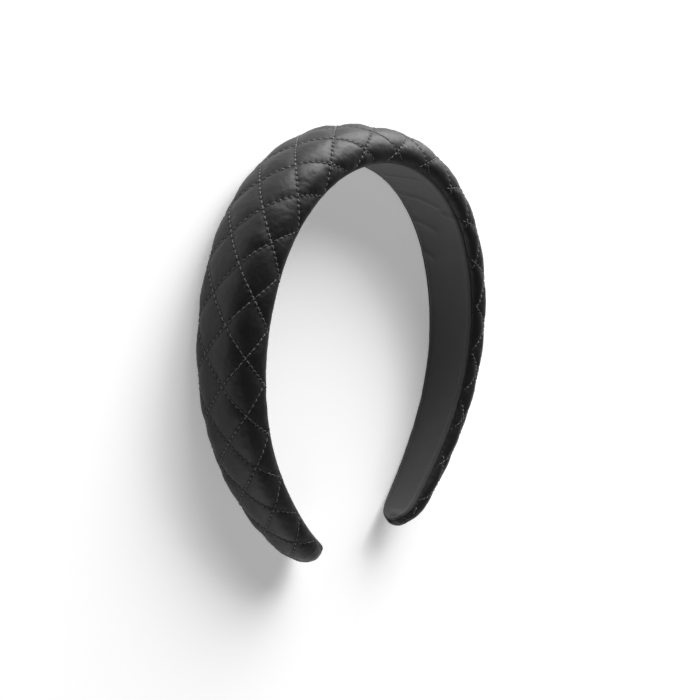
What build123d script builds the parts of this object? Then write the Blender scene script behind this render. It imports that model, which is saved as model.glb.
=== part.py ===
from build123d import *
import os
from collections import namedtuple
from math import atan, ceil, cos, degrees, exp, floor, hypot, pi, sin, sqrt
from numpy import interp

# Padded headband with a quilted cover, lying on its side as it rests on a table.
# X runs across the head, +Y points to the crown and +Z is up. Millimetres.
# s is the distance from the crown along the inner face, negative on the left arm.

# Driving dimensions of the band
Arc = namedtuple("Arc", "radius length")
right_arcs = [
    Arc(radius=58.2, length=67.7),
    Arc(radius=80.0, length=69.9),
    Arc(radius=141.0, length=29.9),
    Arc(radius=70.3, length=17.5),
]
left_arcs = [Arc(radius=56.7, length=67.7)] + right_arcs[1:]
half_length = sum(arc.length for arc in right_arcs)
crown_half_width = 13.8
tip_half_width = 7.5
arm_fullness = 1.8
crown_thickness = 12.4
tip_thickness = 8.9
arm_padding = 3.5
left_padding = 1.4
left_padding_reach = 45.0
widest_height_share = 0.31
dome_side_power = 0.78
dome_top_power = 0.88
tip_round_length = 12.6
tip_height_share = 0.35
tip_lift_share = 0.2
flattened_by = 0.2

# Driving dimensions of the lining and its seat in the cover
gap = 0.3
lining_thickness = 1.2
lining_width_share = 0.8
lining_end_margin = 2.6
lining_corner_radius = 4.6
cover_lip_height = 0.4

# Driving dimensions of the quilting
diamond_length = 20.3
diamond_width = 15.3
quilt_start = -98.2
quilt_side_shift = -2.1
left_quilt_drift = 0.046
right_quilt_drift = 0.026
left_quilt_depth_share = 1.1
right_quilt_depth_share = 0.8
puff_height = 0.8
puff_mean = 0.34
puff_roundness = 0.62
puff_fade = 4.0
facets_per_half_diamond = 3


# The band's route and its sizes along it

def arcs_towards(s):
    return right_arcs if s >= 0 else left_arcs


def inner_face(s):
    """Place of the inner face's centre line at s, and its heading, which is 0 at the crown."""
    x = 0.0
    y = 0.0
    heading = 0.0
    left = abs(s)
    for arc in arcs_towards(s):
        turn = min(left, arc.length) / arc.radius
        x += arc.radius * (sin(heading + turn) - sin(heading))
        y += arc.radius * (cos(heading + turn) - cos(heading))
        heading += turn
        left = max(left - arc.length, 0.0)
    side = 1 if s >= 0 else -1
    return side * x, y, side * heading


def inner_radius(s):
    """Radius of the inner face at s."""
    reached = 0.0
    for arc in arcs_towards(s):
        reached += arc.length
        if abs(s) < reached:
            return arc.radius
    return right_arcs[-1].radius


def along_band(s, crown, tip, middle_extra):
    """A size that runs evenly from crown to tip, with an extra that peaks halfway down the arm."""
    share = min(abs(s) / half_length, 1.0)
    return crown + (tip - crown) * share + middle_extra * 4 * share * (1 - share)


def half_width(s):
    return along_band(s, crown_half_width, tip_half_width, arm_fullness)


def thickness(s):
    """Thickness of the padding, a little fuller on the left of the crown than on the right."""
    place = s / left_padding_reach
    fuller = -left_padding * place * exp(0.5 - 0.5 * place ** 2)
    return along_band(s, crown_thickness, tip_thickness, arm_padding) + fuller


def rounding(distance, radius):
    """Share of the full width at a distance from a rounded end."""
    inward = 1 - min(max(distance / radius, 0.0), 1.0)
    return sqrt(1 - inward ** 2)


# The lining's half width, and the seat for it, which is a gap wider and a gap longer

def lining_half_width(s, margin=0.0):
    from_end = half_length - lining_end_margin + margin - abs(s)
    radius = lining_corner_radius + margin
    into_corner = min(max(radius - from_end, 0.0), radius)
    narrowing = radius - sqrt(radius ** 2 - into_corner ** 2)
    return lining_width_share * half_width(s) + margin - narrowing


seat_end = half_length - lining_end_margin + gap


# The cover's section: a domed top over quarter-round lower sides that end in a lip at the lining

Section = namedtuple("Section", "girth across height")
dome_steps = 24
side_steps = 8


def cover_section(s):
    """One side of the section, from the outer centre line round to the lip."""
    end = rounding(half_length - abs(s), tip_round_length)
    width = half_width(s) * end
    tall = thickness(s) * (tip_height_share + (1 - tip_height_share) * end)
    lift = thickness(s) * tip_lift_share * (1 - end)
    if abs(s) <= seat_end:
        lip = lining_half_width(s, gap)
        lip_height = cover_lip_height
    else:
        lip = lining_half_width(seat_end, gap) * end / rounding(half_length - seat_end, tip_round_length)
        lip_height = cover_lip_height + lift
    widest = lift + widest_height_share * tall
    across = []
    height = []
    for step in range(dome_steps + 1):
        turn = pi / 2 * step / dome_steps
        across.append(width * sin(turn) ** dome_side_power)
        height.append(widest + (1 - widest_height_share) * tall * cos(turn) ** dome_top_power)
    for step in range(1, side_steps + 1):
        turn = pi / 2 * step / side_steps
        across.append(lip + (width - lip) * cos(turn))
        height.append(lip_height + (widest - lip_height) * (1 - sin(turn)))
    girth = [0.0]
    for i in range(1, len(across)):
        girth.append(girth[-1] + hypot(across[i] - across[i - 1], height[i] - height[i - 1]))
    return Section(girth, across, height)


# The quilting: diamonds of stitch lines, laid out on the cloth's own length and girth

cloth_step = 1.0


def cloth_table(side, depth_share):
    """Distances from the crown along one arm's inner face, and the lengths of cloth over them."""
    distances = [0.0]
    lengths = [0.0]
    while distances[-1] < half_length:
        middle = side * (distances[-1] + cloth_step / 2)
        stretch = 1 + depth_share * thickness(middle) / inner_radius(middle)
        distances.append(distances[-1] + cloth_step)
        lengths.append(lengths[-1] + cloth_step * stretch)
    return distances, lengths


right_s, right_length = cloth_table(1, right_quilt_depth_share)
left_s, left_length = cloth_table(-1, left_quilt_depth_share)
cloth_s = [-s for s in reversed(left_s[1:])] + right_s
cloth_length = [-length for length in reversed(left_length[1:])] + right_length

row_step = diamond_length / 2 / facets_per_half_diamond
column_step = diamond_width / 2 / facets_per_half_diamond


def quilt_shift(length):
    """How far the quilting has moved round the band, at a length of cloth from its start."""
    past_crown = max(length + quilt_start, 0.0)
    return quilt_side_shift + left_quilt_drift * (length - past_crown) + right_quilt_drift * past_crown


def quilt_place(s, girth):
    """Place in half diamonds from a crossing of two stitch lines, along the band and round it."""
    length = interp(s, cloth_s, cloth_length) - quilt_start
    along = length / (diamond_length / 2)
    around = (girth - quilt_shift(length)) / (diamond_width / 2)
    return along, around


def off_stitching(place):
    """Distance from the nearest stitch line of one direction, 0 on it and 1 midway."""
    return sin(pi * abs(place / 2 - round(place / 2)))


def puff(s, girth, full_girth):
    """Height of the padding's puff over the plain section."""
    along, around = quilt_place(s, girth)
    rise = (off_stitching(along - around) * off_stitching(along + around)) ** puff_roundness
    at_seam = min((full_girth - abs(girth)) / puff_fade, 1.0)
    at_tip = rounding(half_length - abs(s), tip_round_length)
    return puff_height * (rise - puff_mean) * at_seam * at_tip


def on_cover(section, s, girth):
    """Across and height of the puffed section at a girth from its outer centre line."""
    reach = 0.4
    near = abs(girth)
    across = interp(near, section.girth, section.across)
    height = interp(near, section.girth, section.height)
    run = interp([near - reach, near + reach], section.girth, section.across)
    fall = interp([near - reach, near + reach], section.girth, section.height)
    length = hypot(run[1] - run[0], fall[1] - fall[0])
    rise = puff(s, girth, section.girth[-1])
    across += rise * (fall[0] - fall[1]) / length
    height += rise * (run[1] - run[0]) / length
    return (across if girth >= 0 else -across), height


# The rest pose: the side from the crown's edge to the tips' edges lies along the table

tip_edge_at = 0.93 * half_length


def lower_edge(s):
    """Across and Y of the section's widest line."""
    x, y, heading = inner_face(s)
    return half_width(s), y + widest_height_share * thickness(s) * cos(heading)


crown_edge, crown_edge_y = lower_edge(0)
tip_edge, tip_edge_y = lower_edge(tip_edge_at)
rest_angle = atan((crown_edge - tip_edge) / (crown_edge_y - tip_edge_y))


def laid(x, y, across):
    """Turn a place on the upright band into one on the band that lies on the table."""
    out = across + crown_edge
    down = y - crown_edge_y
    up = out * cos(rest_angle) + down * sin(rest_angle) - flattened_by
    return x, down * cos(rest_angle) - out * sin(rest_angle), max(up, 0.0)


# Quilted cover: rows of facets across the band, folded under at the two seams

tip_row_distances = [5.4, 4.4, 3.6, 3.0, 2.6, half_length - seat_end, 1.6, 0.9, 0.35, 0.08]
tip_rows = [half_length - distance for distance in tip_row_distances]
last_plain_row = tip_rows[0] - 0.4 * row_step
row_number = int((interp(-last_plain_row, cloth_s, cloth_length) - quilt_start) / row_step)
plain_rows = []
while True:
    s = interp(quilt_start + row_number * row_step, cloth_length, cloth_s)
    if s > last_plain_row:
        break
    plain_rows.append(s)
    row_number += 1
rows = [-s for s in reversed(tip_rows)] + plain_rows + tip_rows

points = []
row_columns = []
row_shifts = []
row_lips = []
row_seats = []


def add_point(s, across, height):
    x, y, heading = inner_face(s)
    points.append(laid(x + height * sin(heading), y + height * cos(heading), across))
    return len(points) - 1


for s in rows:
    section = cover_section(s)
    full_girth = section.girth[-1]
    length = interp(s, cloth_s, cloth_length) - quilt_start
    shift = quilt_shift(length)
    lowest = ceil((0.4 * column_step - full_girth - shift) / column_step)
    highest = floor((full_girth - 0.4 * column_step - shift) / column_step)
    columns = {}
    for column in range(lowest, highest + 1):
        across, height = on_cover(section, s, shift + column * column_step)
        columns[column] = add_point(s, across, height)
    lip = section.across[-1]
    lip_height = section.height[-1]
    row_columns.append(columns)
    row_shifts.append(shift)
    row_lips.append((add_point(s, -lip, lip_height), add_point(s, lip, lip_height)))
    if abs(s) <= seat_end + 0.001:
        seat_height = lining_thickness + gap
        row_seats.append((add_point(s, -lip, seat_height), add_point(s, lip, seat_height)))
    else:
        row_seats.append(None)

triangles = []


def add_triangle(a, b, c):
    if len({a, b, c}) == 3:
        triangles.append((a, b, c))


def add_quad(a, b, c, d, split_from_a=True):
    if split_from_a:
        add_triangle(a, b, c)
        add_triangle(a, c, d)
    else:
        add_triangle(a, b, d)
        add_triangle(b, c, d)


def column_point(row, column):
    """The facet corner in a column, or the lip where the column has folded under."""
    if column in row_columns[row]:
        return row_columns[row][column]
    high_side = row_shifts[row] + column * column_step > 0
    return row_lips[row][1 if high_side else 0]


for row in range(len(rows) - 1):
    lowest = min([*row_columns[row], *row_columns[row + 1]]) - 1
    highest = max([*row_columns[row], *row_columns[row + 1]]) + 1
    along = (interp(rows[row], cloth_s, cloth_length) - quilt_start) / (diamond_length / 2)
    for column in range(lowest, highest):
        across_diamond = (column + 0.5) / facets_per_half_diamond
        along_diamond = along + 0.5 / facets_per_half_diamond
        rising = off_stitching(along_diamond - across_diamond) < off_stitching(along_diamond + across_diamond)
        add_quad(
            column_point(row, column),
            column_point(row, column + 1),
            column_point(row + 1, column + 1),
            column_point(row + 1, column),
            split_from_a=rising,
        )
    lip = row_lips[row]
    next_lip = row_lips[row + 1]
    seat = row_seats[row]
    next_seat = row_seats[row + 1]
    if seat and next_seat:
        add_quad(lip[1], seat[1], next_seat[1], next_lip[1])
        add_quad(seat[1], seat[0], next_seat[0], next_seat[1])
        add_quad(seat[0], lip[0], next_lip[0], next_seat[0])
    else:
        add_quad(lip[1], lip[0], next_lip[0], next_lip[1])
        if seat:
            add_quad(lip[0], lip[1], seat[1], seat[0], split_from_a=False)
        if next_seat:
            add_quad(next_lip[1], next_lip[0], next_seat[0], next_seat[1])

for row, tip in ((0, -half_length), (len(rows) - 1, half_length)):
    nose_height = tip_lift_share * thickness(tip) + tip_height_share * thickness(tip) / 2
    nose = add_point(tip, 0, nose_height)
    columns = row_columns[row]
    loop = [row_lips[row][0]] + [columns[column] for column in sorted(columns)] + [row_lips[row][1]]
    for i in range(len(loop)):
        a = loop[i]
        b = loop[(i + 1) % len(loop)]
        if tip > 0:
            add_triangle(a, b, nose)
        else:
            add_triangle(b, a, nose)

middle_y = (min(point[1] for point in points) + max(point[1] for point in points)) / 2
corners = [Vector(x, y - middle_y, z) for x, y, z in points]
facets = [
    Face(Wire.make_polygon([corners[a], corners[b], corners[c]], close=True))
    for a, b, c in triangles
]
cover_shell = Shell(facets)

with BuildPart() as quilted_cover:
    add(Solid(cover_shell))

# Lining: a ribbon of cloth along the inner face, cut to the seat's outline

lining_plane = Plane(
    origin=(
        0,
        -crown_edge_y * cos(rest_angle) - crown_edge * sin(rest_angle) - middle_y,
        crown_edge * cos(rest_angle) - crown_edge_y * sin(rest_angle) - flattened_by,
    ),
    x_dir=(1, 0, 0),
    z_dir=(0, -sin(rest_angle), cos(rest_angle)),
)
plan_plane = Plane(origin=lining_plane.origin, x_dir=lining_plane.y_dir, z_dir=(1, 0, 0))
lining_length = half_length - lining_end_margin
plan_overrun = 8.0
plan_spans = 5


def plan_point(s, further=0.0):
    """Height of the inner face and half width of the lining at s."""
    x, y, heading = inner_face(s)
    return y + further, lining_width_share * half_width(s)


plan_points = [plan_point(0, plan_overrun)]
plan_points += [plan_point(lining_length * span / plan_spans) for span in range(1, plan_spans + 1)]
plan_points.append(plan_point(lining_length, -plan_overrun))


def lining_edge(side, outward):
    """Tangent arcs from the crown to one end of the lining, at a height over the inner face."""
    start = (0, outward)
    tangent = (side, 0)
    left = lining_length
    arcs = []
    for arc in arcs_towards(side):
        run = min(left, arc.length)
        turn = -side * degrees(run / arc.radius)
        arcs.append(JernArc(start=start, tangent=tangent, radius=arc.radius + outward, arc_size=turn))
        start = arcs[-1] @ 1
        tangent = arcs[-1] % 1
        left -= run
    return arcs


with BuildPart() as lining:
    with BuildSketch(lining_plane):
        with BuildLine():
            inner_right = lining_edge(1, 0)
            outer_right = lining_edge(1, lining_thickness)
            inner_left = lining_edge(-1, 0)
            outer_left = lining_edge(-1, lining_thickness)
            Line(inner_right[-1] @ 1, outer_right[-1] @ 1)
            Line(inner_left[-1] @ 1, outer_left[-1] @ 1)
        make_face()
    extrude(amount=crown_half_width, both=True)
    with BuildSketch(plan_plane):
        with BuildLine():
            upper = Spline(*plan_points)
            lower = mirror(upper, about=Plane.XZ)
            Line(upper @ 0, lower @ 0)
            Line(upper @ 1, lower @ 1)
        make_face()
    extrude(amount=2 * right_arcs[0].radius, both=True, mode=Mode.INTERSECT)
    corner_edges = lining.edges().filter_by(lambda edge: edge.length < 2 * lining_thickness)
    fillet(corner_edges, radius=lining_corner_radius)

print(len(triangles), "facets in the cover")
os.makedirs("parts", exist_ok=True)
quilted_cover.part.label = "quilted_cover"
export_step(quilted_cover.part, "parts/quilted_cover.step")
lining.part.label = "lining"
export_step(lining.part, "parts/lining.step")
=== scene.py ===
from math import pi, radians, sqrt

import bpy
import numpy as np
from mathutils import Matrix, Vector, noise
from mathutils.bvhtree import BVHTree


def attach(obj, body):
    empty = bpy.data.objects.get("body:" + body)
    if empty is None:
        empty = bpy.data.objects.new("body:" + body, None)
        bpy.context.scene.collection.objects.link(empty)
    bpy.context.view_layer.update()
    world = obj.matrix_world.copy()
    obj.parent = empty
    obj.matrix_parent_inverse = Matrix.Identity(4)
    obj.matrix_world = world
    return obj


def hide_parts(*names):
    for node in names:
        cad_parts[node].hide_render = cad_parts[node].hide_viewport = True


# Padded headband with a quilted cover, lying on its side on a pale floor.
# The shapes are worked out in millimetres and turned into metres when a mesh is made.
# s is the distance from the crown along the inner face, negative on the left arm.

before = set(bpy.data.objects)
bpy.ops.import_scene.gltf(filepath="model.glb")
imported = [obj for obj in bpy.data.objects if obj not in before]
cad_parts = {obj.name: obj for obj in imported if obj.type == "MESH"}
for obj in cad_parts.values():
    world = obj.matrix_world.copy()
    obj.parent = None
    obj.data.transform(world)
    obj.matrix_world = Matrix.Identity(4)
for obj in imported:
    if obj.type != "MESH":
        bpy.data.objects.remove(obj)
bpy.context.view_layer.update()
millimetre = 0.001

# Camera at the photograph's angle
camera_place = Vector((-0.31167, 0.06231, 0.26648))
camera_turn = (radians(-9.834), radians(-50.634), radians(-0.279))
camera_lens = 56.96
camera_shift = (-0.00854, 0.02638)

# Sizes of the band
right_radius = np.array([58.2, 80.0, 141.0, 70.3])
left_radius = np.array([56.7, 80.0, 141.0, 70.3])
arc_length = np.array([67.7, 69.9, 29.9, 17.5])
tip_trim = 0.76
half_length = arc_length.sum() - tip_trim
crown_half_width, tip_half_width, arm_fullness = 13.8, 7.5, 1.8
crown_thickness, tip_thickness, arm_padding = 12.4, 8.9, 3.5
left_padding, left_padding_reach = 1.4, 45.0
widest_height_share = 0.31
dome_side_power, dome_top_power = 0.78, 0.88
tip_round_length, tip_bluntness, tip_height_share, tip_lift_share = 17.7, 2.44, 0.06, 0.195
flattened_by = 0.2
gap, lining_thickness = 0.3, 1.2
lining_width_share, lining_end_margin, lining_round_length = 0.8, 0.95, 9.0
seat_end = half_length - lining_end_margin + gap
# The cover's edge beside the lining, and how far its cloth turns in under the lining
cover_lip_height = 0.4
turned_in, turned_in_share = 0.5, 0.5
turned_steps = ((0.0, 0.0), (0.35, 0.5), (1.0, 0.9))
# How far from a seam and from a tip's end the cloth stays sewn down
seam_reach, seam_held, tip_held = 4.0, 1.2, 4.8

# Sizes of the quilting
diamond_length, diamond_width = 20.3, 15.3
quilt_start, quilt_side_shift = -98.2, -2.1
left_quilt_drift, right_quilt_drift = 0.046, 0.026
left_quilt_depth_share, right_quilt_depth_share = 1.1, 0.8
cells_per_half_diamond = 9
row_step = diamond_length / 2 / cells_per_half_diamond
column_step = diamond_width / 2 / cells_per_half_diamond
valley_depth = 0.22
line_run = sqrt((diamond_length / 2) ** 2 + (diamond_width / 2) ** 2)
line_spacing = diamond_length / 2 * diamond_width / 2 / line_run
stitches_per_side = 6
stitch_phase = (0.3, 0.65)
stitch_pitch = line_run / stitches_per_side
line_slant = diamond_width / line_run / diamond_length

# How full the padding is
first_puff = 0.45
puff_flatness = 0.6
padding_pressure = 60.0
cloth_fullness = 0.005
simulated_frames = 12
hole_depth, hole_radius = 0.12, 0.4
ripple_height, ripple_reach = 0.04, 1.3
wrinkle_height = 0.12
wrinkle_fades_over = 2.0

# Threads, and the place on the left arm where a painted highlight passes from one family of lines to the
# other
thread_radius = 0.17
thread_lift = np.array([-0.16, 0.05, 0.11, 0.05, -0.16])
thread_sides = 6
thread_turn_place, thread_turn_length = -95.0, 60.0
threads_stop_before_tip, threads_stop_before_seam = 5.5, 1.3

# Soft folds in the lining: places along and across it, in millimetres
lining_folds = [
    [(38.0, -8.8), (40.2, -1.8), (44.8, 4.8)],
    [(53.0, -9.3), (54.8, -5.2), (57.5, -0.9)],
    [(67.0, -10.3), (70.5, -6.2)],
    [(23.8, -6.5), (26.5, 5.4)],
    [(48.8, 6.1), (50.2, 10.0)],
    [(181.0, 0.0), (180.6, 3.4)],
]
fold_height, fold_width = 0.45, 1.3
lining_edge_roll, lining_roll_width = 0.22, 0.9
lining_grow = 0.15


# The band's route and its sizes along it


def inner_face(s):
    """Place of the inner face's centre line at s, and its heading, which is 0 at the crown."""
    s = np.asarray(s, float)
    x, y, heading = (np.zeros_like(s) for _ in range(3))
    left = np.abs(s)
    for right_bend, left_bend, length in zip(right_radius, left_radius, arc_length):
        radius = np.where(s >= 0, right_bend, left_bend)
        turn = np.minimum(left, length) / radius
        x = x + radius * (np.sin(heading + turn) - np.sin(heading))
        y = y + radius * (np.cos(heading + turn) - np.cos(heading))
        heading = heading + turn
        left = np.maximum(left - length, 0.0)
    side = np.where(s >= 0, 1.0, -1.0)
    return side * x, y, side * heading


def along_band(s, crown, tip, middle_extra):
    """A size that runs evenly from crown to tip, with an extra that peaks halfway down the arm."""
    share = np.minimum(np.abs(s) / half_length, 1.0)
    return crown + (tip - crown) * share + middle_extra * 4 * share * (1 - share)


def half_width(s):
    return along_band(s, crown_half_width, tip_half_width, arm_fullness)


def thickness(s):
    """Thickness of the padding, a little fuller on the left of the crown than on the right."""
    place = np.asarray(s, float) / left_padding_reach
    fuller = -left_padding * place * np.exp(0.5 - 0.5 * place**2)
    return along_band(s, crown_thickness, tip_thickness, arm_padding) + fuller


def rounding(distance, radius):
    """Share of the full width at a distance from a rounded end."""
    inward = 1 - np.clip(np.asarray(distance, float) / radius, 0.0, 1.0)
    return (1 - inward**tip_bluntness) ** (1 / tip_bluntness)


def lining_half_width(s, margin=0.0):
    from_end = half_length - lining_end_margin + margin - np.abs(s)
    return lining_width_share * half_width(s) * rounding(from_end, lining_round_length) + margin


def cover_section(s):
    """Girth, across and height along one side of the section, from the outer centre line to the lip."""
    end = rounding(half_length - abs(s), tip_round_length)
    width = half_width(s) * end
    tall = thickness(s) * (tip_height_share + (1 - tip_height_share) * end)
    lift = thickness(s) * tip_lift_share * (1 - end)
    if abs(s) <= seat_end:
        lip = lining_half_width(s, gap)
        lip_height = cover_lip_height
    else:
        end_there = rounding(lining_end_margin - gap, tip_round_length)
        lip = lining_half_width(seat_end, gap) * end / end_there
        lip_height = cover_lip_height + lift
    widest = lift + widest_height_share * tall
    turn = np.linspace(0, pi / 2, 33)
    dome_across = width * np.sin(turn) ** dome_side_power
    dome_rise = (1 - widest_height_share) * tall
    dome_height = widest + dome_rise * np.maximum(np.cos(turn), 0) ** dome_top_power
    turn = turn[1::2]
    side_across = lip + (width - lip) * np.cos(turn)
    side_height = lip_height + (widest - lip_height) * (1 - np.sin(turn))
    across = np.concatenate([dome_across, side_across])
    height = np.concatenate([dome_height, side_height])
    girth = np.concatenate([[0], np.cumsum(np.hypot(np.diff(across), np.diff(height)))])
    return girth, across, height


# The cloth's own length, measured inside the padding, for laying out the quilting

cloth_s = np.linspace(-half_length, half_length, 371)
middle_s = (cloth_s[1:] + cloth_s[:-1]) / 2
arc_there = np.searchsorted(np.cumsum(arc_length), np.abs(middle_s)).clip(0, 3)
radius_there = np.where(middle_s >= 0, right_radius[arc_there], left_radius[arc_there])
depth_share = np.where(middle_s >= 0, right_quilt_depth_share, left_quilt_depth_share)
cloth_stretch = 1 + depth_share * thickness(middle_s) / radius_there
cloth_length = np.concatenate([[0], np.cumsum(np.diff(cloth_s) * cloth_stretch)])
cloth_length -= np.interp(0, cloth_s, cloth_length)


def quilt_shift(length):
    """How far the quilting has moved round the band, at a length of cloth from its start."""
    past_crown = np.maximum(length + quilt_start, 0.0)
    return quilt_side_shift + left_quilt_drift * (length - past_crown) + right_quilt_drift * past_crown


# The rest pose: the side from the crown's edge to the tips' edges lies on the floor


def lower_edge(s):
    x, y, heading = inner_face(s)
    return float(half_width(s)), float(y + widest_height_share * thickness(s) * np.cos(heading))


tip_rest_share = 0.93
crown_edge, crown_edge_y = lower_edge(0)
tip_edge, tip_edge_y = lower_edge(tip_rest_share * half_length)
rest_angle = np.arctan((crown_edge - tip_edge) / (crown_edge_y - tip_edge_y))
# Moves the band so that the middle of its footprint lies on the origin
middle_y = -70.156


def laid(x, y, across):
    """Turn places on the upright band into places on the band that lies on the floor."""
    out = across + crown_edge
    down = y - crown_edge_y
    up = out * np.cos(rest_angle) + down * np.sin(rest_angle) - flattened_by
    back = down * np.cos(rest_angle) - out * np.sin(rest_angle) - middle_y
    return np.stack([x, back, up], axis=-1)


def on_band(s, across, height):
    """Places over the inner face, at s, across the band and at a height outwards."""
    x, y, heading = inner_face(s)
    return laid(x + height * np.sin(heading), y + height * np.cos(heading), across)


# Quilted cover: a grid of cloth whose diagonals are the stitch lines, folded under at the two seams


class Grid:
    """Points, faces and each point's place in the quilting, gathered row by row."""

    def __init__(self):
        self.points = []
        self.places = []
        self.held = []
        self.faces = []

    def add(self, point, place, held):
        self.points.append(point)
        self.places.append(place)
        self.held.append(held)
        return len(self.points) - 1

    def face(self, *corners):
        kept = []
        for corner in corners:
            if corner not in kept:
                kept.append(corner)
        if len(kept) > 2:
            self.faces.append(tuple(kept))


least_step_share = 0.4


def cover_row(s, section, shift):
    """One row of the cloth: each point's number, its place round the section and where it lies."""
    girth, across, height = section
    full = girth[-1]
    slope_reach = 0.4
    numbers = np.arange(
        int(np.ceil((least_step_share * column_step - full - shift) / column_step)),
        int(np.floor((full - least_step_share * column_step - shift) / column_step)) + 1,
    )
    at = shift + numbers * column_step
    across_at = np.interp(np.abs(at), girth, across)
    height_at = np.interp(np.abs(at), girth, height)
    before, after = np.abs(at) - slope_reach, np.abs(at) + slope_reach
    run = np.interp(after, girth, across) - np.interp(before, girth, across)
    fall = np.interp(after, girth, height) - np.interp(before, girth, height)
    bend = np.hypot(run, fall)
    at_seam = np.clip((full - np.abs(at)) / seam_reach, 0, 1)
    at_tip = rounding(half_length - abs(s), tip_round_length)
    sunk = valley_depth * at_seam * at_tip
    across_at = (across_at + sunk * fall / bend) * np.where(at >= 0, 1, -1)
    height_at = height_at - sunk * run / bend
    return numbers, at, on_band(np.full(len(at), s), across_at, height_at)


def turned_edges(grid, s, section, along, shift):
    """Points of the cloth's two edges in one row, where it turns in beside the lining."""
    girth, across, height = section
    full, lip, lip_height = girth[-1], across[-1], height[-1]
    turned = min(lip * turned_in_share, turned_in)
    edges = []
    for side in (-1, 1):
        edge = []
        for share, rise in turned_steps:
            inset = turned * share
            around = (side * full - shift) / (diamond_width / 2) + side * inset / (diamond_width / 2)
            point = on_band(s, side * (lip - inset), lip_height + rise)
            edge.append(grid.add(point, (along, around, -inset), True))
        edges.append(edge)
    return edges


def on_stitch_line(along, number):
    """Whether a point of the cloth lies on a stitch line, from its row's place and its own number."""
    row_place = along * cells_per_half_diamond
    row = round(row_place)
    row_tolerance = 0.01
    ranks = [row + sign * number for sign in (-1, 1)]
    on_row = abs(row_place - row) < row_tolerance
    return on_row and any(rank % (2 * cells_per_half_diamond) == 0 for rank in ranks)


def cover_grid():
    grid = Grid()
    nose_distances = np.array([4.6, 3.8, 3.1, 2.5, 2.0, 1.5, 1.05, 0.7, 0.4, 0.18, 0.05])
    last_plain = half_length - nose_distances[0] - least_step_share * row_step
    first = int(np.ceil((np.interp(-last_plain, cloth_s, cloth_length) - quilt_start) / row_step))
    last = int(np.floor((np.interp(last_plain, cloth_s, cloth_length) - quilt_start) / row_step))
    plain = np.interp(quilt_start + np.arange(first, last + 1) * row_step, cloth_length, cloth_s)
    nose_rows = half_length - nose_distances
    rows = np.concatenate([-nose_rows[::-1], plain, nose_rows])
    columns, edges = [], []
    for s in rows:
        section = cover_section(s)
        full = section[0][-1]
        length = np.interp(s, cloth_s, cloth_length) - quilt_start
        along = length / (diamond_length / 2)
        shift = quilt_shift(length)
        near_end = half_length - abs(s) < tip_held
        found = {}
        for number, place, point in zip(*cover_row(s, section, shift)):
            number = int(number)
            from_seam = full - abs(place)
            held = on_stitch_line(along, number) or from_seam < seam_held or near_end
            found[number] = grid.add(point, (along, number / cells_per_half_diamond, from_seam), held)
        columns.append(found)
        edges.append(turned_edges(grid, s, section, along, shift))

    def corner(row, number):
        if number in columns[row]:
            return columns[row][number]
        return edges[row][1 if number > max(columns[row]) else 0][0]

    for row in range(len(rows) - 1):
        low = min([*columns[row], *columns[row + 1]]) - 1
        high = max([*columns[row], *columns[row + 1]]) + 1
        for number in range(low, high):
            grid.face(
                corner(row, number),
                corner(row, number + 1),
                corner(row + 1, number + 1),
                corner(row + 1, number),
            )
        for side, turn in ((0, 1), (1, -1)):
            here, there = edges[row][side], edges[row + 1][side]
            for step in range(2):
                quad = (here[step], there[step], there[step + 1], here[step + 1])
                grid.face(*quad[::turn])
        grid.face(edges[row][1][2], edges[row][0][2], edges[row + 1][0][2], edges[row + 1][1][2])
    for row, tip in ((0, -half_length), (len(rows) - 1, half_length)):
        rise = (tip_lift_share + tip_height_share / 2) * thickness(tip)
        length = np.interp(tip, cloth_s, cloth_length) - quilt_start
        nose = grid.add(on_band(tip, 0.0, rise), (length / (diamond_length / 2), 0.0, 0.0), True)
        loop = edges[row][0][::-1] + [columns[row][n] for n in sorted(columns[row])] + edges[row][1]
        for a, b in zip(loop, loop[1:] + loop[:1]):
            grid.face(*((a, b, nose) if tip > 0 else (b, a, nose)))
    return grid


def mesh_object(name, points, faces):
    mesh = bpy.data.meshes.new(name)
    mesh.from_pydata([tuple(p) for p in np.asarray(points) * millimetre], [], faces)
    mesh.validate()
    mesh.update()
    made = bpy.data.objects.new(name, mesh)
    bpy.context.scene.collection.objects.link(made)
    mesh.polygons.foreach_set("use_smooth", np.ones(len(mesh.polygons), bool))
    return made


def mesh_points(mesh):
    points = np.zeros(len(mesh.vertices) * 3, np.float32)
    mesh.vertices.foreach_get("co", points)
    return points.reshape(-1, 3).astype(float)


def set_points(mesh, points):
    mesh.vertices.foreach_set("co", np.asarray(points, np.float32).ravel())
    mesh.update()


def keep_places(mesh, name, places):
    layer = mesh.attributes.new(name, "FLOAT_VECTOR", "POINT")
    layer.data.foreach_set("vector", np.asarray(places, np.float32).ravel())


def read_places(mesh, name):
    places = np.zeros(len(mesh.vertices) * 3, np.float32)
    mesh.attributes[name].data.foreach_get("vector", places)
    return places.reshape(-1, 3).astype(float)


def applied(made):
    """Replace an object's mesh by what its modifiers make of it."""
    graph = bpy.context.evaluated_depsgraph_get()
    mesh = bpy.data.meshes.new_from_object(made.evaluated_get(graph), depsgraph=graph)
    made.modifiers.clear()
    made.data = mesh
    return made


def sewn_rise(places):
    """Share of the full puff at each place, 0 on the stitch lines and 1 in the middle of a diamond."""
    rise = 1.0
    for sign in (-1, 1):
        half = (places[:, 0] + sign * places[:, 1]) / 2
        rise = rise * np.abs(np.sin(pi * (half - np.round(half))))
    return rise * np.clip(places[:, 2] / seam_reach, 0, 1)


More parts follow.
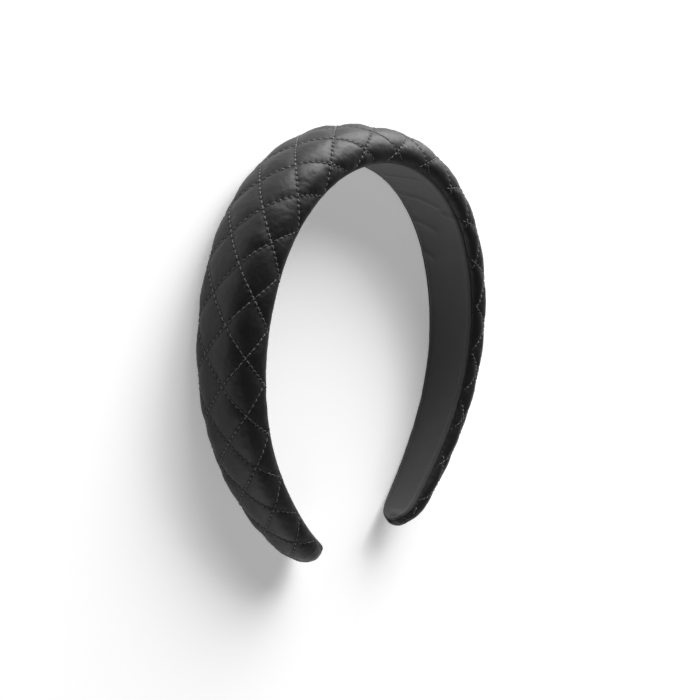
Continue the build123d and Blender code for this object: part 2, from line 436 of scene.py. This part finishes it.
def inflated(cover, held):
    """Points of the cloth once its padding has pushed it out between the stitch lines, simulated."""
    scale_up = 20
    points = mesh_points(cover.data)
    blank = cover.copy()
    blank.data = cover.data.copy()
    blank.name = "simulated_cloth"
    bpy.context.scene.collection.objects.link(blank)
    set_points(blank.data, points * scale_up)
    sewn = blank.vertex_groups.new(name="sewn")
    sewn.add([int(i) for i in np.flatnonzero(held)], 1.0, "REPLACE")
    cloth = blank.modifiers.new("cloth", "CLOTH")
    settings = cloth.settings
    settings.quality = 6
    settings.mass = 0.3
    settings.tension_stiffness = 15
    settings.compression_stiffness = 15
    settings.shear_stiffness = 8
    settings.bending_stiffness = 0.4
    settings.air_damping = 1.0
    settings.vertex_group_mass = "sewn"
    settings.pin_stiffness = 1.0
    settings.shrink_min = -cloth_fullness
    settings.use_pressure = True
    settings.uniform_pressure_force = padding_pressure
    settings.effector_weights.gravity = 0.0
    cloth.collision_settings.use_collision = False
    cloth.point_cache.frame_start = 1
    cloth.point_cache.frame_end = simulated_frames
    scene = bpy.context.scene
    for number in range(1, simulated_frames + 1):
        scene.frame_set(number)
    graph = bpy.context.evaluated_depsgraph_get()
    settled = mesh_points(blank.evaluated_get(graph).to_mesh()) / scale_up
    scene.frame_set(1)
    bpy.data.objects.remove(blank)
    moved = settled - points
    far = np.linalg.norm(moved, axis=1, keepdims=True)
    furthest = 2.4 * millimetre
    return points + moved * np.minimum(1, furthest / np.maximum(far, 1e-9))


def point_normals(mesh):
    normals = np.zeros(len(mesh.vertices) * 3, np.float32)
    mesh.vertices.foreach_get("normal", normals)
    return normals.reshape(-1, 3).astype(float)


def pulled_by_stitches(cover):
    """Points of the cloth, dimpled at needle holes, rippled beside stitch lines and a little uneven."""
    places = read_places(cover.data, "quilt")
    along, around, from_seam = places.T
    height = np.zeros(len(places))
    for sign, phase in zip((-1, 1), stitch_phase):
        rank = (along + sign * around) / 2
        off = (rank - np.round(rank)) * 2 * line_spacing
        step = (along - off * line_slant) * stitches_per_side - phase
        apart = (step - np.round(step)) * stitch_pitch
        height -= hole_depth * np.exp(-(off**2 + apart**2) / hole_radius**2)
        height -= ripple_height * np.cos(2 * pi * step) * np.exp(-((off / ripple_reach) ** 2))
    flat_places = [along * diamond_length / 2, around * diamond_width / 2, np.zeros(len(places))]
    coarse, fine, fine_share = 0.23, 0.6, 0.5
    uneven = np.array([
        noise.noise(Vector(spot * coarse)) + fine_share * noise.noise(Vector(spot * fine))
        for spot in np.stack(flat_places, axis=1)
    ])
    height += wrinkle_height * uneven
    height *= np.clip(from_seam / wrinkle_fades_over, 0, 1)
    return mesh_points(cover.data) + point_normals(cover.data) * height[:, None] * millimetre


def make_cover():
    grid = cover_grid()
    cover = mesh_object("quilted_cloth", grid.points, grid.faces)
    places = np.array(grid.places)
    held = np.array(grid.held)
    keep_places(cover.data, "quilt", places)
    normals = point_normals(cover.data)
    points = mesh_points(cover.data)
    rise = sewn_rise(places) ** puff_flatness * ~held
    set_points(cover.data, points + normals * rise[:, None] * first_puff * millimetre)
    points = inflated(cover, held)
    points[:, 2] = np.maximum(points[:, 2], 0)
    set_points(cover.data, points)
    smooth = cover.modifiers.new("rounder", "SUBSURF")
    smooth.levels = smooth.render_levels = 1
    applied(cover)
    points = pulled_by_stitches(cover)
    points[:, 2] = np.maximum(points[:, 2], 0)
    set_points(cover.data, points)
    return cover


def folded(s, across):
    """How far the soft folds stand out of the lining at places along and across it."""
    out = np.zeros(len(across))
    spot = np.stack([np.full(len(across), s), across], axis=1)
    for fold in lining_folds:
        nearest = np.full(len(across), np.inf)
        for start, end in zip(np.array(fold[:-1]), np.array(fold[1:])):
            run = end - start
            share = np.clip((spot - start) @ run / (run @ run), 0, 1)
            nearest = np.minimum(nearest, np.linalg.norm(spot - start - share[:, None] * run, axis=1))
        out = np.maximum(out, fold_height * np.exp(-((nearest / fold_width) ** 2)))
    return out


def lining_area():
    """Area of the lining cut flat, in square metres."""
    end = half_length - lining_end_margin + lining_grow
    places = np.linspace(-end, end, 2001)
    widths = 2 * lining_half_width(places, lining_grow)
    return float(widths.mean() * 2 * end) * millimetre**2


def make_lining():
    end = half_length - lining_end_margin + lining_grow
    from_end = np.array([0.0, 0.1, 0.35, 0.8, 1.5, 2.4, 3.4])
    plain_end, plain_rows = end - 4.5, 560
    rows = np.concatenate([
        -end + from_end,
        np.linspace(-plain_end, plain_end, plain_rows),
        end - from_end[::-1],
    ])
    shares = np.concatenate([[-1, -0.985], np.linspace(-0.96, 0.96, 39), [0.985, 1]])
    edge_height, under_inset = 0.5, 0.2
    points, faces, places = [], [], []
    for s in rows:
        wide = lining_half_width(s, lining_grow)
        inside = (1 - np.abs(shares)) * wide
        edge = np.clip(inside / lining_roll_width, 0, 1)
        height = edge_height * (1 - np.sqrt(1 - (1 - edge) ** 2))
        roll = lining_edge_roll * np.exp(-(((inside - lining_roll_width) / 0.7) ** 2))
        height -= roll + folded(s, shares * wide)
        under = np.array([1, -1]) * (wide - under_inset)
        points += list(on_band(np.full(len(shares), s), shares * wide, height))
        points += list(on_band(np.full(2, s), under, np.full(2, lining_thickness)))
        places += [(s, share * wide, (1 - abs(share)) * wide) for share in (*shares, 1, -1)]
    count = len(shares) + 2
    for row in range(len(rows) - 1):
        for column in range(count):
            after = (column + 1) % count
            a, b = row * count + column, row * count + after
            faces.append((a, a + count, b + count, b))
    faces.append(tuple(range(count)))
    faces.append(tuple(range((len(rows) - 1) * count, len(rows) * count))[::-1])
    lining = mesh_object("lining_cloth", points, faces)
    keep_places(lining.data, "weave", places)
    return lining


# Stitches: short threads from hole to hole along both families of stitch lines


def thread_course(tree, s, girth):
    """Places of one thread over the cloth and its outward direction, or None near a seam or a tip."""
    if abs(s).max() > half_length - threads_stop_before_tip:
        return None
    spots, normals = [], []
    for s_here, girth_here in zip(s, girth):
        section_girth, across, height = section_at(s_here)
        if abs(girth_here) > section_girth[-1] - threads_stop_before_seam:
            return None
        side = 1 if girth_here >= 0 else -1
        place = on_band(
            s_here,
            side * np.interp(abs(girth_here), section_girth, across),
            np.interp(abs(girth_here), section_girth, height),
        )
        hit, normal, _, _ = tree.find_nearest(Vector(place * millimetre))
        spots.append(np.array(hit) / millimetre)
        normals.append(np.array(normal))
    outward = np.mean(normals, axis=0)
    outward /= np.linalg.norm(outward)
    return np.array(spots) + outward * thread_lift[:, None], outward


def thread_tone_and_glint(family_sign, s, spread):
    """How light a thread is: a random tone plus a painted highlight, strong on one family of lines high on
    the left arm and on the other low on it.
    """
    high_on_arm = np.clip(0.5 + (s - thread_turn_place) / thread_turn_length, 0, 1)
    painted_glint = high_on_arm if family_sign > 0 else 0.7 - 0.45 * high_on_arm
    return 0.3 * (spread % 1.0) + 0.7 * painted_glint


def add_thread(points, faces, places, spots, outward, tone_and_glint):
    """Add a round thread through its spots, closed at both ends."""
    rings, sides = len(spots), thread_sides
    forward = spots[-1] - spots[0]
    forward /= np.linalg.norm(forward)
    sideways = np.cross(forward, outward)
    base = len(points)
    for ring, spot in enumerate(spots):
        for step in range(sides):
            turn = 2 * pi * step / sides
            round_thread = np.cos(turn) * sideways + np.sin(turn) * outward
            points.append(spot + thread_radius * round_thread)
            places.append((ring * stitch_pitch / rings, turn, tone_and_glint))
    for ring in range(rings - 1):
        for step in range(sides):
            after = (step + 1) % sides
            a, b = base + ring * sides + step, base + ring * sides + after
            faces.append((a, b, b + sides, a + sides))
    faces.append(tuple(base + step for step in range(sides))[::-1])
    faces.append(tuple(base + (rings - 1) * sides + step for step in range(sides)))


def make_stitches(cover):
    tree = BVHTree.FromObject(cover, bpy.context.evaluated_depsgraph_get())
    thread_ends = np.array([0.06, 0.94])
    points, faces, places = [], [], []
    longest = int(np.ceil((cloth_length[-1] - cloth_length[0]) / (diamond_length / 2))) + 2
    lines = range(-longest - 10, longest + 30)
    start_along = (cloth_length[0] - quilt_start) / (diamond_length / 2)
    end_along = (cloth_length[-1] - quilt_start) / (diamond_length / 2)
    first = int(np.floor(start_along * stitches_per_side))
    last = int(np.ceil(end_along * stitches_per_side))
    for family, sign in enumerate((-1, 1)):
        for line in lines:
            for number in range(first, last):
                ends = (number + stitch_phase[family] + thread_ends) / stitches_per_side
                along = np.linspace(ends[0], ends[1], len(thread_lift))
                around = sign * (2 * line - along)
                length = along * diamond_length / 2
                girth = quilt_shift(length) + around * diamond_width / 2
                s = np.interp(length + quilt_start, cloth_length, cloth_s)
                course = thread_course(tree, s, girth)
                if course is not None:
                    tone_and_glint = thread_tone_and_glint(sign, s.mean(), number * 0.37 + line * 0.61)
                    add_thread(points, faces, places, *course, tone_and_glint)
    stitches = mesh_object("quilting_stitches", points, faces)
    keep_places(stitches.data, "twist", places)
    return stitches


sections = [cover_section(s) for s in np.linspace(-half_length, half_length, 741)]
sections_per_millimetre = 2


def section_at(s):
    number = round((s + half_length) * sections_per_millimetre)
    return sections[int(np.clip(number, 0, len(sections) - 1))]


# Finishes: a small kit for node materials


class Varying:
    """A value that changes over a surface; arithmetic on it adds the maths to its finish."""

    def __init__(self, finish, socket):
        self.finish = finish
        self.socket = socket

    def __add__(self, other):
        return self.finish.maths("ADD", self, other)

    def __radd__(self, other):
        return self.finish.maths("ADD", other, self)

    def __sub__(self, other):
        return self.finish.maths("SUBTRACT", self, other)

    def __rsub__(self, other):
        return self.finish.maths("SUBTRACT", other, self)

    def __mul__(self, other):
        return self.finish.maths("MULTIPLY", self, other)

    def __rmul__(self, other):
        return self.finish.maths("MULTIPLY", other, self)

    def __pow__(self, other):
        return self.finish.maths("POWER", self, other)

    def __abs__(self):
        return self.finish.maths("ABSOLUTE", self)

    def rounded(self):
        return self.finish.maths("ROUND", self)

    def sine(self):
        return self.finish.maths("SINE", self)

    def least(self, other):
        return self.finish.maths("MINIMUM", self, other)


def grey(value):
    """A nearly neutral colour, a hair towards blue."""
    return value, value, value * 1.02, 1.0


class Finish:
    """A material whose nodes are added one by one."""

    def __init__(self, name, **constants):
        self.material = bpy.data.materials.new(name)
        self.material.use_nodes = True
        self.tree = self.material.node_tree
        self.shader = self.tree.nodes["Principled BSDF"]
        for socket, value in constants.items():
            self.shader.inputs[socket.replace("_", " ")].default_value = value

    def add(self, kind, settings=None, inputs=None, output=0):
        node = self.tree.nodes.new(kind)
        for name, value in (settings or {}).items():
            setattr(node, name, value)
        for name, value in (inputs or {}).items():
            if isinstance(value, Varying):
                self.tree.links.new(value.socket, node.inputs[name])
            else:
                node.inputs[name].default_value = value
        return Varying(self, node.outputs[output])

    def feed(self, name, value):
        self.tree.links.new(value.socket, self.shader.inputs[name])

    def maths(self, operation, *values):
        return self.add("ShaderNodeMath", {"operation": operation}, dict(enumerate(values)))

    def places(self, name):
        """The three numbers kept at each point under a name."""
        kept = self.add("ShaderNodeAttribute", {"attribute_name": name}, output="Vector")
        return [self.add("ShaderNodeSeparateXYZ", {}, {0: kept}, output=number) for number in range(3)]

    def vector(self, x, y, z=0.0):
        return self.add("ShaderNodeCombineXYZ", {}, {0: x, 1: y, 2: z})

    def noise(self, where, scale, detail=2.0, roughness=0.5):
        """Soft uneven values from 0 to 1 about its middle."""
        inputs = {"Vector": where, "Scale": scale, "Detail": detail, "Roughness": roughness}
        return self.add("ShaderNodeTexNoise", {}, inputs)

    def blend(self, share, first, second):
        """One colour turning into another as a share goes from 0 to 1."""
        inputs = {0: share, 6: first, 7: second}
        return self.add("ShaderNodeMix", {"data_type": "RGBA"}, inputs, output=2)

    def between(self, value, low, high):
        """0 under low, 1 over high and a smooth run between them."""
        inputs = {"Value": value, "From Min": low, "From Max": high}
        return self.add("ShaderNodeMapRange", {"interpolation_type": "SMOOTHSTEP"}, inputs)

    def raised(self, height):
        """Turn the surface's shading as if it were raised by a height in millimetres."""
        inputs = {"Height": height, "Strength": 1.0, "Distance": millimetre}
        self.feed("Normal", self.add("ShaderNodeBump", {}, inputs))


def near_stitches(finish, along, around):
    """Distances from each family's nearest stitch line and needle hole, in millimetres."""
    lines, holes = [], []
    for sign, phase in zip((-1, 1), stitch_phase):
        rank = (along + sign * around) * 0.5
        off = (rank - rank.rounded()) * (2 * line_spacing)
        step = (along - off * line_slant) * stitches_per_side - phase
        apart = (step - step.rounded()) * stitch_pitch
        lines.append(abs(off))
        holes.append((off * off + apart * apart) ** 0.5)
    return lines, holes


def cover_finish():
    finish = Finish("black_quilted_cloth", Specular_IOR_Level=0.37, Sheen_Weight=0.05, Sheen_Roughness=0.4)
    along, around, _ = finish.places("quilt")
    lines, holes = near_stitches(finish, along, around)
    line = lines[0].least(lines[1])
    hole = holes[0].least(holes[1])
    flat = finish.vector(along * (diamond_length / 2), around * (diamond_width / 2))
    shaded_hole = 1 - finish.between(hole, 0.12, 0.5)
    shaded_crease = 1 - finish.between(line, 0.1, 1.4)
    cloudy = finish.noise(flat, 0.16, 3.0)
    dusty = finish.noise(flat, 1.1, 2.0)
    tone = finish.blend(cloudy, grey(0.005), grey(0.011))
    # Painted shade along the stitch lines' creases, which also get a little rougher.
    tone = finish.blend(shaded_crease * 0.35, tone, grey(0.004))
    # Painted shade in the needle holes, which the bump below also sinks.
    tone = finish.blend(shaded_hole * 0.7, tone, grey(0.0015))
    finish.feed("Base Color", tone)
    finish.feed("Roughness", 0.42 + cloudy * 0.12 + dusty * 0.06 + shaded_crease * 0.08)
    grain = finish.noise(flat, 3.2, 3.0, 0.6)
    soft = finish.noise(flat, 0.45, 2.0)
    finish.raised(soft * 0.16 + grain * 0.012 + shaded_hole * -0.22)
    return finish.material


def lining_finish():
    finish = Finish("grey_lining_cloth", Specular_IOR_Level=0.25, Sheen_Weight=0.2, Sheen_Roughness=0.6)
    along, across, _ = finish.places("weave")
    yarn = 0.32
    warp = (across * (2 * pi / yarn)).sine()
    weft = (along * (2 * pi / yarn)).sine()
    flat = finish.vector(along, across)
    cloudy = finish.noise(flat, 0.12, 3.0)
    slubs = finish.noise(finish.vector(along * 0.6, across * 4.0), 1.0, 2.0)
    tone = finish.blend(cloudy * 0.7 + slubs * 0.3, grey(0.07), grey(0.11))
    # Painted shade: the lining's colour darkens from near the crown towards the tips.
    painted_tip_shade = finish.between(abs(along), 20.0, 150.0)
    tone = finish.blend(painted_tip_shade * 0.85, tone, grey(0.03))
    finish.feed("Base Color", tone)
    finish.feed("Roughness", 0.8 + slubs * 0.15)
    finish.raised(cloudy * 0.25 + warp * weft * 0.02 + slubs * 0.03)
    return finish.material


def thread_finish():
    finish = Finish("sewing_thread", Specular_IOR_Level=0.6, Sheen_Weight=0.05)
    run, turn, tone_and_glint = finish.places("twist")
    ply = (run * (2 * pi / 0.55) + turn * 2).sine()
    # The third kept number mixes a random tone with a painted highlight on one family of lines or the
    # other.
    tone = finish.blend(tone_and_glint, grey(0.015), grey(0.17))
    tone = finish.blend(finish.between(ply, 0.2, 1.0) * 0.4, tone, grey(0.03))
    finish.feed("Base Color", tone)
    finish.feed("Roughness", 0.28 + tone_and_glint * 0.12)
    finish.raised(ply * -0.04)
    return finish.material


cover = make_cover()
cover.data.materials.append(cover_finish())
lining = make_lining()
lining.data.materials.append(lining_finish())
stitches = make_stitches(cover)
stitches.data.materials.append(thread_finish())

for piece in (cover, lining, stitches):
    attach(piece, "root")
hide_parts("quilted_cover")
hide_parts("lining")
lining_area()

# Floor, camera and light


def swept_floor():
    """A round floor in metres whose rim sweeps up into a low wall, as in a photographer's cove."""
    rings, sides = 16, 96
    flat_radius, bend_radius, wall_top = 12.0, 1.0, 2.2
    bend = np.linspace(0, pi / 2, rings)
    radii = [0.95 * flat_radius, *(flat_radius + bend_radius * np.sin(bend)), flat_radius + bend_radius]
    heights = [0.0, *(bend_radius * (1 - np.cos(bend))), wall_top]
    turns = np.linspace(0, 2 * pi, sides, endpoint=False)
    points = [
        (radius * np.cos(turn), radius * np.sin(turn), height)
        for radius, height in zip(radii, heights)
        for turn in turns
    ]
    faces = [tuple(range(sides))]
    for ring in range(len(radii) - 1):
        for side in range(sides):
            after = (side + 1) % sides
            low, high = ring * sides, (ring + 1) * sides
            faces.append((low + side, high + side, high + after, low + after))
    return mesh_object("floor", np.array(points) / millimetre, faces)


floor = swept_floor()
floor_finish = Finish(
    "pale_floor",
    Base_Color=(0.93, 0.93, 0.93, 1),
    Roughness=0.9,
    Emission_Color=(1, 1, 1, 1),
    Emission_Strength=0.3,
)
floor.data.materials.append(floor_finish.material)

camera_data = bpy.data.cameras.new("camera")
camera_data.lens = camera_lens
camera_data.sensor_width = 36.0
camera_data.shift_x, camera_data.shift_y = camera_shift
camera_data.clip_start, camera_data.clip_end = 0.01, 40
camera = bpy.data.objects.new("camera", camera_data)
camera.location = camera_place
camera.rotation_euler = camera_turn
bpy.context.scene.collection.objects.link(camera)
bpy.context.scene.camera = camera


def area_light(name, towards, size, power):
    """A soft square light in a direction from the band, facing it."""
    distance = 3.0
    light_data = bpy.data.lights.new(name, "AREA")
    light_data.size = size
    light_data.energy = power
    light = bpy.data.objects.new(name, light_data)
    direction = Vector(towards).normalized()
    light.location = direction * distance
    light.rotation_mode = "QUATERNION"
    light.rotation_quaternion = direction.to_track_quat("Z", "Y")
    light.visible_camera = False
    bpy.context.scene.collection.objects.link(light)


# Each light's name, direction, size in metres and power in watts
lights = [
    ("key_light", (0.3, 0.9, 0.45), 2.2, 78),
    ("low_light", (0.0, 1.0, 0.12), 2.2, 50),
    ("side_light", (0.6, 0.7, 0.3), 2.2, 120),
    ("fill_light", (-0.4, -0.9, 0.3), 2.2, 20),
    ("back_fill_light", (0.3, -0.9, 0.5), 2.2, 8),
]
for light_settings in lights:
    area_light(*light_settings)

world = bpy.data.worlds.new("studio")
bpy.context.scene.world = world
world.use_nodes = True
world.node_tree.nodes["Background"].inputs["Color"].default_value = (1, 1, 1, 1)
world.node_tree.nodes["Background"].inputs["Strength"].default_value = 0.0
bpy.context.scene.view_settings.view_transform = "Standard"
